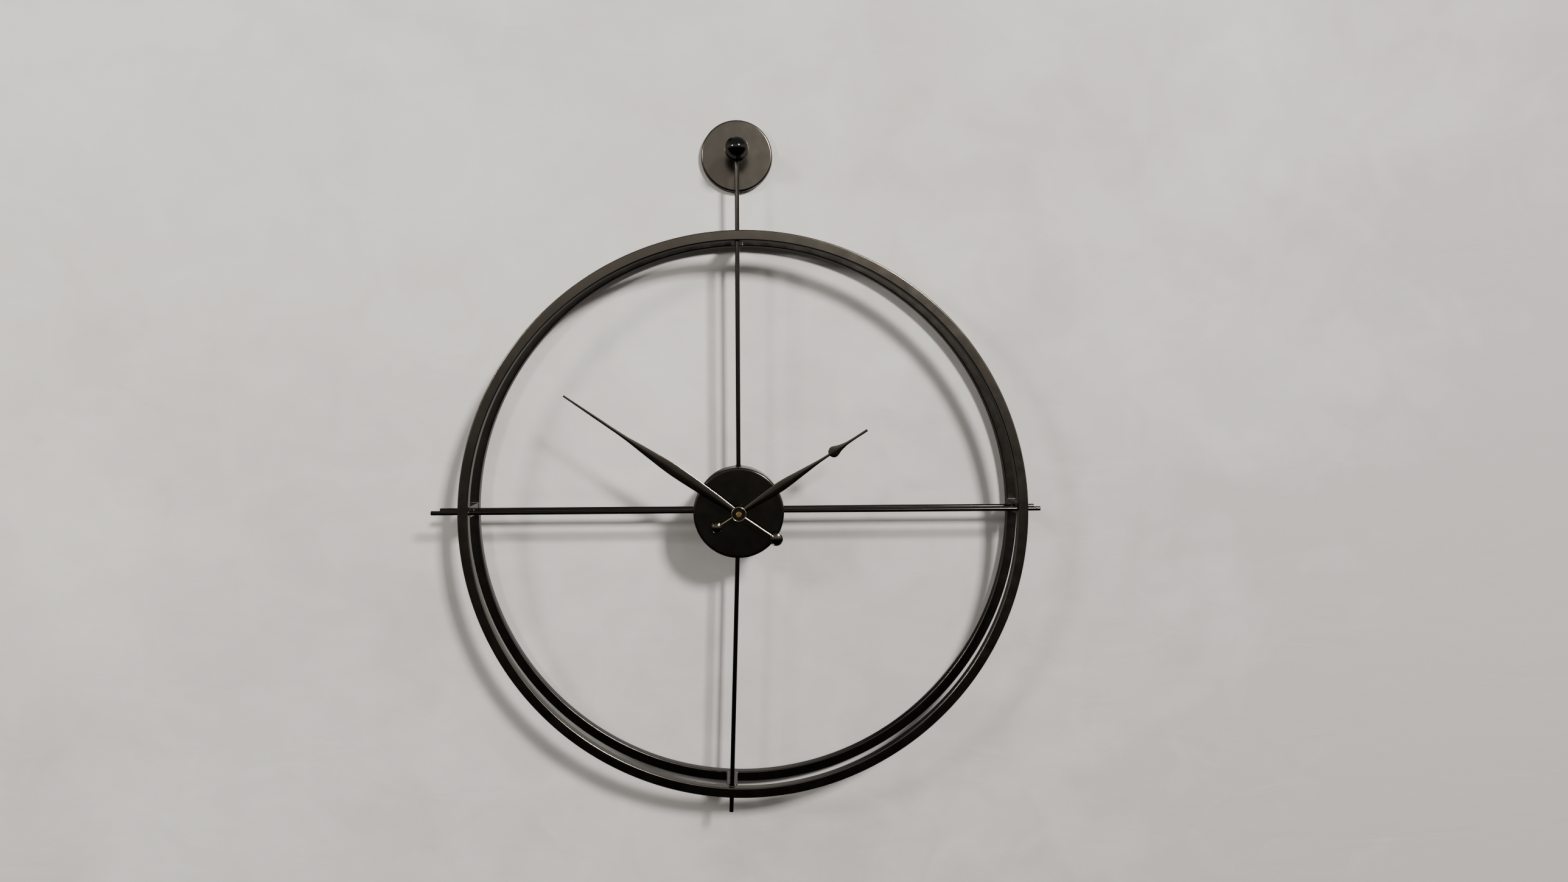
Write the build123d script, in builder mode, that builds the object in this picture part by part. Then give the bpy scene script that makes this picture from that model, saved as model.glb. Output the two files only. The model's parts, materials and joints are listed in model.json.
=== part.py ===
"""Pendulum wall clock: a skeleton double-ring clock that hangs from a ball-ended stem.

Frame: millimetres, +Z up, +X right, the front faces -Y.  The origin is the middle of the
wall bracket's back face, which lies against the wall plane y = 0.  Most places are given as
a depth in front of the wall, so y = -depth.
"""
import os
from math import acos, cos, pi, radians, sin, sqrt, tan

from build123d import *

os.makedirs("parts", exist_ok=True)

# ---------------------------------------------------------------- driving dimensions
CANOPY_D = 90.0
CANOPY_DEPTH = 10.0
SHEET = 1.2
BRACKET_LENGTH = 76.0
BRACKET_WIDTH = 18.0
BRACKET_THICK = 2.5
SCREW_SPACING = 54.0
SCREW_HOLE_R = 2.25
STEM_D = 8.0
BALL_D = 28.0
RING_OD = 700.0
TUBE = 12.7
TUBE_WALL = 1.2
TUBE_CORNER = 1.3
RING_GAP = 49.6
WALL_GAP = 4.5
PIVOT_TO_CENTRE = 444.0
ROD_D = 5.5
BLOCK = 14.0
HUB_D = 110.0
HUB_DEPTH = 60.0
HUB_PROUD = 19.0
WELD_FIT = 0.05
RUN_FIT = 0.08

# the hoops sit a little to the right of the hub's middle and below it
HOOP_X = 8.4
HOOP_DROP = 7.5

# direction of each arm, anticlockwise from +X as seen from the front; the lower one leans
ARM_ANGLE = {"right": 0.0, "top": 90.0, "left": 180.0, "bottom": 268.3}

# distance of each cross rod's end from the hub's middle
FRONT_ROD_ENDS = {"left": 374.5, "right": 374.5, "bottom": 376.5, "top": 336.0}
MIDDLE_ROD_ENDS = {"left": 371.0, "right": 374.0, "bottom": 371.0}

# hand angles, clockwise from twelve as seen from the front
MINUTE_ANGLE = 304.5
HOUR_ANGLE = 57.3
MINUTE_LENGTH = 252.0
MINUTE_TAIL = 54.5
HOUR_LENGTH = 185.0
HOUR_TAIL = 31.7
BLADE = 1.2
HUB_BOSS_R = 9.2

# half widths along each hand, from the boss towards the tip
MINUTE_BLADE = [(8.0, 3.6), (40.0, 5.7), (94.0, 7.2), (130.0, 5.0), (165.0, 2.2), (205.0, 1.4)]
MINUTE_TIP = 0.8
MINUTE_DISC_R = 8.0
HOUR_BLADE = [(7.0, 2.6), (30.0, 4.5), (61.0, 6.2), (92.0, 3.9), (115.0, 2.0), (130.4, 1.5)]
HOUR_DISC_R = 7.0
SPADE_AT = 136.5
SPADE_R = 6.9
SPADE_END = 157.0
POINTER = 1.7

# ---------------------------------------------------------------- worked-out depths
FRONT_RING_BACK = WALL_GAP + TUBE + RING_GAP
RING_FRONT = FRONT_RING_BACK + TUBE
FRONT_ROD_DEPTH = RING_FRONT - TUBE / 2
MIDDLE_DEPTH = (WALL_GAP + RING_FRONT) / 2
RING_R = RING_OD / 2
TUBE_MID_R = RING_R - TUBE / 2
CENTRE_Z = -PIVOT_TO_CENTRE
HOOP_Z = CENTRE_Z - HOOP_DROP
HUB_FRONT = RING_FRONT + HUB_PROUD
HUB_BACK = HUB_FRONT - HUB_DEPTH
HUB_R = HUB_D / 2
DRUM_R = HUB_R - SHEET - 0.1
ROD_R = ROD_D / 2
ROD_START = DRUM_R - SHEET
EYE_WIDTH = 8.0
EYE_SOCKET = 5.6
EYE_FRONT = MIDDLE_DEPTH + EYE_WIDTH / 2
COLLAR_BACK = EYE_FRONT + 0.3
BALL_DEPTH = COLLAR_BACK + 1.6 + BALL_D / 2
HOUR_HAND_DEPTH = HUB_FRONT + 4.9
MINUTE_HAND_DEPTH = HOUR_HAND_DEPTH + 5.1

# the quartz movement is measured as a setback behind its own front face
CASE = 56.0
CASE_WALL = 1.5
CASE_DEPTH = 16.0
CASE_FRONT = HUB_FRONT - SHEET - 1.0
BAY_TOP = -11.9
PARTITION = 1.0
BATTERY_D = 14.0
BATTERY_LENGTH = 49.2
BATTERY_Z = -19.2
BATTERY_SETBACK = 9.15
BUSHING_R = 4.0
BUSHING_END = -5.7
COIL_X = -22.5
COIL_Z = (-5.5, 15.5)
STATOR_SETBACK = 12.0

# gear train: spindle radii and the plate between the hands' gears and the stepping gears
PIVOT_R = 0.5
ARBOR_R = 1.5
ARBOR_REAR_R = 0.9
SETTING_SHAFT_R = 1.4
PLATE_SETBACK = 4.9
PLATE_THICK = 0.8
PIPE_R = 2.7
PIPE_BORE = 1.6
PIPE_LENGTH = 10.9

# wheel teeth, pinion teeth and module of each pair; the centre distance follows from them
PAIRS = {"cannon": (36, 12, 0.5), "hour": (40, 10, 0.48), "centre": (64, 8, 0.30),
         "third": (60, 8, 0.30), "fourth": (50, 10, 0.28), "fifth": (72, 12, 0.20)}

# addendum and dedendum in modules
WHEEL = (0.60, 1.25)
PINION = (0.80, 1.00)

# name: axis, wheel pair, wheel setback, pinion pair, pinion setback
TRAIN_WHEELS = {"third_wheel": ("third", "third", 7.3, "centre", 5.9),
                "fourth_wheel": ("fourth", "fourth", 8.6, "third", 7.2),
                "fifth_wheel": ("fifth", "fifth", 9.9, "fourth", 8.5)}


def save(part, name):
    """Label one finished piece and write it as its own file."""
    part.label = name
    export_step(part, f"parts/{name}.step")


def front_plane(depth, x=0.0, z=0.0, turn=0.0):
    """Plane facing the viewer at a depth before the wall; turn is clockwise degrees."""
    angle = radians(turn)
    return Plane(origin=(x, -depth, z), x_dir=(cos(angle), 0, -sin(angle)), z_dir=(0, -1, 0))


def clock_plane(depth, turn=0.0):
    """front_plane centred on the clock's middle."""
    return front_plane(depth, 0, CENTRE_Z, turn)


def arm_direction(side):
    """Unit direction of one arm in the x, z plane."""
    angle = radians(ARM_ANGLE[side])
    return cos(angle), sin(angle)


def on_arm(side, distance, depth):
    """Point along an arm at a distance from the hub's middle."""
    dx, dz = arm_direction(side)
    return (dx * distance, -depth, CENTRE_Z + dz * distance)


def along_arm(side):
    """Direction of one arm in space."""
    dx, dz = arm_direction(side)
    return (dx, 0, dz)


def hoop_crossing(side):
    """Distance from the hub's middle to the point where an arm meets the tube's mid line."""
    dx, dz = arm_direction(side)
    forward = dx * HOOP_X - dz * HOOP_DROP
    return forward + sqrt(forward ** 2 - HOOP_X ** 2 - HOOP_DROP ** 2 + TUBE_MID_R ** 2)


def lathe(name, outline, z=0.0, rounds=()):
    """Turn (radius, depth) points about the line through height z; rounds = (radius, picks)."""
    with BuildPart() as turned:
        with BuildSketch(Plane.XY.offset(z)):
            with BuildLine():
                Polyline([(radius, -depth) for radius, depth in outline], close=True)
            make_face()
        revolve(axis=Axis((0, 0, z), (0, 1, 0)))
        for size, pick in rounds:
            fillet([edge for edge in turned.edges() if pick(edge.center(CenterOf.BOUNDING_BOX), edge)],
                   size)
    save(turned.part, name)


def on_circle(radius, depth):
    """Edge test for lathe: the full circle of one radius at one depth."""
    def pick(_, edge):
        box = edge.bounding_box()
        return abs(box.size.X / 2 - radius) < 0.02 and abs(-box.center().Y - depth) < 0.02
    return pick


# ---------------------------------------------------------------- wall side
def wall_bracket():
    """Steel strap with two screw holes and a boss in the middle that takes the stem."""
    with BuildPart() as bracket:
        with BuildSketch(front_plane(0)):
            SlotOverall(BRACKET_LENGTH, BRACKET_WIDTH)
            with Locations((-SCREW_SPACING / 2, 0), (SCREW_SPACING / 2, 0)):
                Circle(SCREW_HOLE_R, mode=Mode.SUBTRACT)
        extrude(amount=BRACKET_THICK)
        with BuildSketch(front_plane(BRACKET_THICK)):
            Circle(7.0)
        extrude(amount=3.0)
        with BuildSketch(front_plane(0)):
            Circle(STEM_D / 2)
        extrude(amount=BRACKET_THICK + 3.0, mode=Mode.SUBTRACT)
    save(bracket.part, "wall_bracket")


def canopy():
    """Drawn cup that hides the bracket, with a rounded front edge."""
    outer = CANOPY_D / 2
    hole = STEM_D / 2 + WELD_FIT
    outline = [(hole, CANOPY_DEPTH), (outer, CANOPY_DEPTH), (outer, 0.4), (outer - SHEET, 0.4),
               (outer - SHEET, CANOPY_DEPTH - SHEET), (hole, CANOPY_DEPTH - SHEET)]
    lathe("canopy", outline, rounds=[(2.2, on_circle(outer, CANOPY_DEPTH)),
                                     (1.0, on_circle(outer - SHEET, CANOPY_DEPTH - SHEET))])


def stem():
    """Standoff that screws into the bracket, clamps the canopy and carries the ball."""
    flange = 7.5
    core = STEM_D / 2
    outline = [(0, 0.2), (core, 0.2), (core, CANOPY_DEPTH), (flange, CANOPY_DEPTH),
               (flange, CANOPY_DEPTH + 2.4), (core, CANOPY_DEPTH + 2.4), (core, BALL_DEPTH - 4),
               (0, BALL_DEPTH - 4)]
    lathe("stem", outline, rounds=[(0.8, on_circle(flange, CANOPY_DEPTH + 2.4))])


def pivot_collar():
    """Thin cupped seat behind the ball, a little wider than the ball."""
    bore = STEM_D / 2 + WELD_FIT
    rim = BALL_D / 2 + 0.8
    seat = BALL_D / 2 + 0.05
    with BuildPart() as collar:
        with BuildSketch(Plane.XY):
            with BuildLine():
                Polyline([(bore, -COLLAR_BACK), (rim - 3.5, -COLLAR_BACK), (rim, -COLLAR_BACK - 3.6),
                          (rim, -COLLAR_BACK - 5.2), (bore, -COLLAR_BACK - 5.2)], close=True)
            make_face()
            with Locations((0, -BALL_DEPTH)):
                Circle(seat, mode=Mode.SUBTRACT)
        revolve(axis=Axis.Y)
    save(collar.part, "pivot_collar")


def ball_knob():
    """Polished ball with a blind hole for the stem."""
    with BuildPart() as ball:
        with Locations((0, -BALL_DEPTH, 0)):
            Sphere(BALL_D / 2)
        with BuildSketch(front_plane(COLLAR_BACK - 1)):
            Circle(STEM_D / 2 + WELD_FIT)
        extrude(amount=BALL_DEPTH - 4 + WELD_FIT - COLLAR_BACK + 1, mode=Mode.SUBTRACT)
    save(ball.part, "ball_knob")


def stop_ring():
    """Ring on the stem that stops the eye from sliding back."""
    inner = STEM_D / 2 + WELD_FIT
    outer = 7.0
    front = EYE_FRONT - EYE_WIDTH - 0.3
    back = front - 2.0
    outline = [(inner, front), (outer, front), (outer, back), (inner, back)]
    lathe("stop_ring", outline, rounds=[(0.4, on_circle(outer, front)), (0.4, on_circle(outer, back))])


# ---------------------------------------------------------------- hanging frame
def pivot_eye():
    """Eye that turns on the stem, with a socket below for the suspension rod."""
    radius = 8.5
    with BuildPart() as eye:
        with BuildSketch(front_plane(EYE_FRONT - EYE_WIDTH)):
            Circle(radius)
            Circle(STEM_D / 2 + RUN_FIT, mode=Mode.SUBTRACT)
        extrude(amount=EYE_WIDTH)
        chamfer(eye.edges().filter_by(GeomType.CIRCLE).group_by(SortBy.LENGTH)[-1], 0.6)
        with BuildSketch(Plane(origin=(0, -MIDDLE_DEPTH, -EYE_SOCKET), z_dir=(0, 0, -1))):
            Circle(ROD_R + WELD_FIT)
        extrude(amount=6, mode=Mode.SUBTRACT)
    save(eye.part, "pivot_eye")


def rod(name, start, direction, length):
    """Round bar with broken edges, from a start point along a direction."""
    with BuildPart() as bar:
        with BuildSketch(Plane(origin=start, z_dir=direction)):
            Circle(ROD_R)
        extrude(amount=length)
        chamfer(bar.edges().filter_by(GeomType.CIRCLE), 0.5)
    save(bar.part, name)


def cross_rods():
    """Four rods in the front hoop's plane, three behind them, and the rod that hangs it all."""
    for prefix, depth, ends in (("front_rod", FRONT_ROD_DEPTH, FRONT_ROD_ENDS),
                                ("middle_rod", MIDDLE_DEPTH, MIDDLE_ROD_ENDS)):
        for side, end in ends.items():
            rod(f"{prefix}_{side}", on_arm(side, ROD_START, depth), along_arm(side), end - ROD_START)
    top = EYE_SOCKET + 0.1
    rod("suspension_rod", (0, -MIDDLE_DEPTH, -top), (0, 0, -1), PIVOT_TO_CENTRE - top - ROD_START)


def drill(side, depth, start, length):
    """Cut the hole for one rod in the current part, from a distance along its arm."""
    with BuildSketch(Plane(origin=on_arm(side, start, depth), z_dir=along_arm(side))) as hole:
        Circle(ROD_R + WELD_FIT)
    extrude(hole.sketch, amount=length, mode=Mode.SUBTRACT)


def hoop(name, back, drilled):
    """Hoop rolled from square tube; the front one is drilled for the four front rods."""
    middle = back + TUBE / 2
    with BuildPart() as tube:
        with BuildSketch(Plane.XY.offset(HOOP_Z)):
            with Locations((HOOP_X + TUBE_MID_R, -middle)):
                RectangleRounded(TUBE, TUBE, TUBE_CORNER)
                Rectangle(TUBE - 2 * TUBE_WALL, TUBE - 2 * TUBE_WALL, mode=Mode.SUBTRACT)
        revolve(axis=Axis((HOOP_X, 0, HOOP_Z), (0, 1, 0)))
        if drilled:
            for side in ARM_ANGLE:
                inward = TUBE if side == "top" else 2 * TUBE
                drill(side, middle, hoop_crossing(side) - TUBE, inward)
    save(tube.part, name)


def spacer_blocks():
    """Square blocks between the hoops where the arms cross, drilled for the middle rods."""
    for side in ARM_ANGLE:
        distance = hoop_crossing(side) - 0.3
        centre = on_arm(side, distance, MIDDLE_DEPTH)
        with BuildPart(Plane(origin=centre, x_dir=along_arm(side), z_dir=(0, -1, 0))) as block:
            Box(TUBE - 1.0, BLOCK, RING_GAP)
            chamfer(block.edges().filter_by(Axis.Y), 0.5)
            drill(side, MIDDLE_DEPTH, distance - TUBE, 2 * TUBE)
        save(block.part, f"spacer_block_{side}")


# ---------------------------------------------------------------- hub
def hub_drum():
    """Sheet drum, open at the back with a turned-in lip, drilled for the rods."""
    lip = DRUM_R - SHEET - 2.4
    front = HUB_FRONT - SHEET - 1.2
    with BuildPart() as drum:
        with BuildSketch(Plane.XY.offset(CENTRE_Z)):
            with BuildLine():
                Polyline([(DRUM_R, -front), (DRUM_R, -HUB_BACK), (lip, -HUB_BACK),
                          (lip, -HUB_BACK - SHEET), (DRUM_R - SHEET, -HUB_BACK - SHEET),
                          (DRUM_R - SHEET, -front)], close=True)
            make_face()
        revolve(axis=Axis((0, 0, CENTRE_Z), (0, 1, 0)))
        back_edges = [e for e in drum.edges() if on_circle(DRUM_R, HUB_BACK)(None, e)]
        fillet(back_edges, 0.8)
        for depth in (FRONT_ROD_DEPTH, MIDDLE_DEPTH):
            for side in ARM_ANGLE:
                drill(side, depth, DRUM_R - 5, 10)
    save(drum.part, "hub_drum")


def hub_face():
    """Pressed lid over the drum's front with a rounded rim and a short skirt."""
    bore = 4.1
    skirt = 6.5
    outline = [(bore, HUB_FRONT), (HUB_R, HUB_FRONT), (HUB_R, HUB_FRONT - skirt),
               (HUB_R - SHEET, HUB_FRONT - skirt), (HUB_R - SHEET, HUB_FRONT - SHEET),
               (bore, HUB_FRONT - SHEET)]
    lathe("hub_face", outline, CENTRE_Z, rounds=[(2.2, on_circle(HUB_R, HUB_FRONT)),
                                                 (1.0, on_circle(HUB_R - SHEET, HUB_FRONT - SHEET))])


# ---------------------------------------------------------------- movement case
def at(setback):
    """Depth of a point that lies this far behind the movement's front face."""
    return CASE_FRONT - setback


def bushing_set():
    """Threaded bushing, rubber washer, brass washer and hex nut that hold the movement."""
    lathe("bushing", [(2.8, at(CASE_WALL)), (BUSHING_R, at(CASE_WALL)), (BUSHING_R, at(BUSHING_END)),
                      (2.8, at(BUSHING_END))], CENTRE_Z)
    lathe("rubber_washer", [(4.1, at(0)), (13, at(0)), (13, at(-1)), (4.1, at(-1))], CENTRE_Z)
    lathe("bushing_washer", [(4.1, HUB_FRONT), (7.5, HUB_FRONT), (7.5, HUB_FRONT + 0.6),
                             (4.1, HUB_FRONT + 0.6)], CENTRE_Z)
    with BuildPart() as nut:
        with BuildSketch(clock_plane(HUB_FRONT + 0.6)):
            RegularPolygon(6.4, 6)
            Circle(BUSHING_R + WELD_FIT, mode=Mode.SUBTRACT)
        extrude(amount=2.2)
    save(nut.part, "bushing_nut")


def case_tray():
    """Moulded front half of the movement: a tray with a partition for the battery."""
    inside = CASE / 2 - CASE_WALL
    top_mid = (inside + BAY_TOP + PARTITION) / 2
    top_size = inside - BAY_TOP - PARTITION
    bay_mid = (BAY_TOP - inside) / 2
    bay_size = BAY_TOP + inside
    with BuildPart() as tray:
        with BuildSketch(clock_plane(at(CASE_DEPTH - CASE_WALL))):
            RectangleRounded(CASE, CASE, 3)
        extrude(amount=CASE_DEPTH - CASE_WALL)
        with BuildSketch(clock_plane(at(CASE_DEPTH))):
            with Locations((0, top_mid)):
                Rectangle(2 * inside, top_size)
            with Locations((0, bay_mid)):
                Rectangle(2 * inside, bay_size)
        extrude(amount=CASE_DEPTH - CASE_WALL, mode=Mode.SUBTRACT)
        with BuildSketch(clock_plane(at(CASE_WALL))):
            Circle(BUSHING_R)
            for x, z, radius in front_pivots():
                with Locations((x, z)):
                    Circle(radius, mode=Mode.ADD)
        extrude(amount=CASE_WALL - 0.6, mode=Mode.SUBTRACT)
        with BuildSketch(clock_plane(at(1.0))):
            Circle(BUSHING_R)
        extrude(amount=2.0, mode=Mode.SUBTRACT)
    save(tray.part, "movement_case")


def case_cover():
    """Moulded back half of the movement, with pivot holes and a hole for the setting shaft."""
    height = CASE / 2 - BAY_TOP
    with BuildPart() as cover:
        with BuildSketch(clock_plane(at(CASE_DEPTH))):
            with Locations((0, CASE / 2 - height / 2)):
                RectangleRounded(CASE, height, 2)
            with Locations(INTERMEDIATE_AT):
                Circle(SETTING_SHAFT_R + RUN_FIT, mode=Mode.SUBTRACT)
        extrude(amount=CASE_WALL)
        with BuildSketch(clock_plane(at(CASE_DEPTH - CASE_WALL + 0.8))):
            for x, z, radius in rear_pivots():
                with Locations((x, z)):
                    Circle(radius)
        extrude(amount=0.8, mode=Mode.SUBTRACT)
    save(cover.part, "movement_cover")


def train_plate():
    """Plate between the motion work and the stepping train."""
    with BuildPart() as plate:
        with BuildSketch(clock_plane(at(PLATE_SETBACK + PLATE_THICK))):
            with Locations((0.8, 8.5)):
                RectangleRounded(44, 34, 4)
            Circle(ARBOR_R + RUN_FIT + 0.6, mode=Mode.SUBTRACT)
            with Locations(INTERMEDIATE_AT):
                Circle(SETTING_SHAFT_R + RUN_FIT, mode=Mode.SUBTRACT)
            for name in ("third", "fourth", "fifth", "rotor"):
                with Locations(AXES[name]):
                    Circle(PIVOT_R + RUN_FIT, mode=Mode.SUBTRACT)
        extrude(amount=PLATE_THICK)
    save(plate.part, "train_plate")


# ---------------------------------------------------------------- gears
def step(origin, distance, angle):
    """Point at a distance and an anticlockwise angle from another."""
    return (origin[0] + distance * cos(radians(angle)), origin[1] + distance * sin(radians(angle)))


def spacing(pair):
    wheel, pinion, module = PAIRS[pair]
    return (wheel + pinion) * module / 2


INTERMEDIATE_AT = step((0, 0), spacing("cannon"), 135)
AXES = {"centre": (0.0, 0.0)}
AXES["third"] = step(AXES["centre"], spacing("centre"), 20)
AXES["fourth"] = step(AXES["third"], spacing("third"), 100)
AXES["fifth"] = step(AXES["fourth"], spacing("fourth"), 170)
AXES["rotor"] = step(AXES["fifth"], spacing("fifth"), 175)


def front_pivots():
    """Blind bearings in the tray for the setting shaft."""
    return [(*INTERMEDIATE_AT, SETTING_SHAFT_R + RUN_FIT)]


def rear_pivots():
    """Blind bearings in the cover for the train's rear pivots."""
    bearings = [(*AXES[name], PIVOT_R + RUN_FIT) for name in ("third", "fourth", "fifth", "rotor")]
    return bearings + [(0, 0, ARBOR_REAR_R + RUN_FIT)]


def meshing_phase(driver_phase, driver_teeth, teeth, angle):
    """Phase in degrees that puts a gap opposite the driver's tooth along the line of centres."""
    fraction = (driver_phase - angle) / (360 / driver_teeth)
    return angle + 180 - fraction * 360 / teeth + 180 / teeth


def tooth_outline(teeth, module, phase, addendum, dedendum):
    """Closed outline of involute teeth with backlash, three radii to each flank."""
    pitch_r = teeth * module / 2
    base_r = pitch_r * cos(radians(20))
    involute_at_pitch = tan(radians(20)) - radians(20)
    half_pitch_tooth = pi / (2 * teeth) * 0.80

    def half_angle(radius):
        pressure = acos(min(1.0, base_r / max(radius, base_r)))
        return half_pitch_tooth + involute_at_pitch - (tan(pressure) - pressure)

    radii = [pitch_r - dedendum * module, pitch_r, pitch_r + addendum * module]
    flank = [(radius, half_angle(radius)) for radius in radii]
    outline = []
    for tooth in range(teeth):
        middle = radians(phase) + tooth * 2 * pi / teeth
        for radius, half in flank:
            outline.append((radius * cos(middle - half), radius * sin(middle - half)))
        for radius, half in reversed(flank):
            outline.append((radius * cos(middle + half), radius * sin(middle + half)))
    return outline


def gear(outline, centre, setback, thickness, bore=0.0):
    """Extrude one toothed disc inside the current part, front face at the given setback."""
    plane = front_plane(at(setback + thickness), centre[0], CENTRE_Z + centre[1])
    with BuildSketch(plane) as disc:
        with BuildLine():
            Polyline(outline, close=True)
        make_face()
        if bore:
            Circle(bore, mode=Mode.SUBTRACT)
    extrude(disc.sketch, amount=thickness)


def spindle(centre, radius, front, rear):
    """Extrude one round arbor inside the current part between two setbacks."""
    with BuildSketch(front_plane(at(rear), centre[0], CENTRE_Z + centre[1])) as section:
        Circle(radius)
    extrude(section.sketch, amount=rear - front)


def plan_train():
    """Tooth phases that leave every pair in mesh at rest."""
    phase = {"cannon_pinion": 0.0}
    phase["intermediate_wheel"] = meshing_phase(0.0, 12, 36, 135)
    phase["intermediate_pinion"] = 0.0
    phase["hour_wheel"] = meshing_phase(0.0, 10, 40, 135 + 180)
    phase["centre_wheel"] = 0.0
    phase["third_pinion"] = meshing_phase(0.0, 64, 8, 20)
    phase["third_wheel"] = 0.0
    phase["fourth_pinion"] = meshing_phase(0.0, 60, 8, 100)
    phase["fourth_wheel"] = 0.0
    phase["fifth_pinion"] = meshing_phase(0.0, 50, 10, 170)
    phase["fifth_wheel"] = 0.0
    phase["rotor_pinion"] = meshing_phase(0.0, 72, 12, 175)
    return phase


PHASE = plan_train()


def motion_work():
    """Cannon pinion, intermediate wheel with its setting knob, and the hour wheel's pipe."""
    wheel_teeth, pinion_teeth, module = PAIRS["cannon"]
    with BuildPart() as cannon:
        gear(tooth_outline(pinion_teeth, module, PHASE["cannon_pinion"], *PINION), (0, 0), 3.4, 1.3,
             ARBOR_R)
    save(cannon.part, "cannon_pinion")
    with BuildPart() as intermediate:
        gear(tooth_outline(wheel_teeth, module, PHASE["intermediate_wheel"], *WHEEL),
             INTERMEDIATE_AT, 3.5, 1.0)
        hour_wheel_teeth, hour_pinion_teeth, hour_module = PAIRS["hour"]
        gear(tooth_outline(hour_pinion_teeth, hour_module, PHASE["intermediate_pinion"], *PINION),
             INTERMEDIATE_AT, 1.8, 1.7)
        spindle(INTERMEDIATE_AT, SETTING_SHAFT_R, 0.8, CASE_DEPTH + 3.5)
    save(intermediate.part, "intermediate_wheel")
    with BuildPart() as hour:
        gear(tooth_outline(hour_wheel_teeth, hour_module, PHASE["hour_wheel"], *WHEEL), (0, 0),
             1.9, 1.0, PIPE_BORE)
        with BuildSketch(clock_plane(at(1.9))):
            Circle(PIPE_R)
            Circle(PIPE_BORE, mode=Mode.SUBTRACT)
        extrude(amount=PIPE_LENGTH)
    save(hour.part, "hour_wheel")
    with BuildPart() as knob:
        with BuildSketch(front_plane(at(CASE_DEPTH + 4.3), INTERMEDIATE_AT[0],
                                     CENTRE_Z + INTERMEDIATE_AT[1])):
            Circle(5.2)
            with PolarLocations(5.35, 18):
                Circle(0.45, mode=Mode.SUBTRACT)
        extrude(amount=4.0)
        with BuildSketch(front_plane(at(CASE_DEPTH + 3.5), INTERMEDIATE_AT[0],
                                     CENTRE_Z + INTERMEDIATE_AT[1])):
            Circle(SETTING_SHAFT_R + WELD_FIT)
        extrude(amount=3.5, mode=Mode.SUBTRACT)
    save(knob.part, "setting_knob")


def stepping_train():
    """Centre wheel, the three wheels that drive it and the magnetic rotor."""
    with BuildPart() as centre:
        teeth, _, module = PAIRS["centre"]
        gear(tooth_outline(teeth, module, PHASE["centre_wheel"], *WHEEL), (0, 0), 6.0, 0.8,
             ARBOR_REAR_R + RUN_FIT)
    save(centre.part, "centre_wheel")
    for name, (axis, wheel_pair, wheel_at, pinion_pair, pinion_at) in TRAIN_WHEELS.items():
        with BuildPart() as wheel:
            teeth, _, module = PAIRS[wheel_pair]
            gear(tooth_outline(teeth, module, PHASE[name], *WHEEL), AXES[axis], wheel_at, 0.8)
            _, teeth, module = PAIRS[pinion_pair]
            pinion_phase = PHASE[name.replace("wheel", "pinion")]
            gear(tooth_outline(teeth, module, pinion_phase, *PINION), AXES[axis], pinion_at,
                 wheel_at - pinion_at)
            spindle(AXES[axis], PIVOT_R, PLATE_SETBACK, CASE_DEPTH - CASE_WALL + 0.7)
        save(wheel.part, name)
    with BuildPart() as pinion:
        _, teeth, module = PAIRS["fifth"]
        gear(tooth_outline(teeth, module, PHASE["rotor_pinion"], *PINION), AXES["rotor"], 9.8, 1.2)
        spindle(AXES["rotor"], PIVOT_R, PLATE_SETBACK, CASE_DEPTH - CASE_WALL + 0.7)
    save(pinion.part, "rotor_pinion")
    with BuildPart() as magnet:
        with BuildSketch(front_plane(at(13.3), AXES["rotor"][0], CENTRE_Z + AXES["rotor"][1])):
            Circle(3.0)
            Circle(PIVOT_R + WELD_FIT, mode=Mode.SUBTRACT)
        extrude(amount=2.2)
    save(magnet.part, "rotor_magnet")


# ---------------------------------------------------------------- motor and electronics
def motor():
    """Laminated stator with its core leg, and the coil wound on that leg."""
    with BuildPart() as stator:
        with BuildSketch(clock_plane(at(STATOR_SETBACK + 0.8))):
            with Locations((-14.3, 16.0)):
                RectangleRounded(21.0, 9.0, 0.8)
            with Locations((-16.4, 2.4)):
                Rectangle(3.6, 20.0)
            with Locations((-19.7, -8.3)):
                Rectangle(10.2, 3.6)
            with Locations((COIL_X, 3.5)):
                Rectangle(2.4, 22.0)
            with Locations(AXES["rotor"]):
                Circle(3.6, mode=Mode.SUBTRACT)
        extrude(amount=0.8)
    save(stator.part, "stator")
    with BuildPart() as coil:
        core = Plane(origin=(COIL_X, -at(STATOR_SETBACK + 0.4), CENTRE_Z + COIL_Z[0] + 1.2),
                     x_dir=(1, 0, 0), z_dir=(0, 0, 1))
        length = COIL_Z[1] - COIL_Z[0] - 6.0
        with BuildSketch(core):
            RectangleRounded(4.8, 3.6, 1.2)
            Rectangle(2.6, 1.0, mode=Mode.SUBTRACT)
        extrude(amount=length)
        for start in (0, length - 1):
            with BuildSketch(core.offset(start)):
                RectangleRounded(5.4, 4.2, 0.6)
                Rectangle(2.6, 1.0, mode=Mode.SUBTRACT)
            extrude(amount=1.0)
    save(coil.part, "coil")


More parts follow.
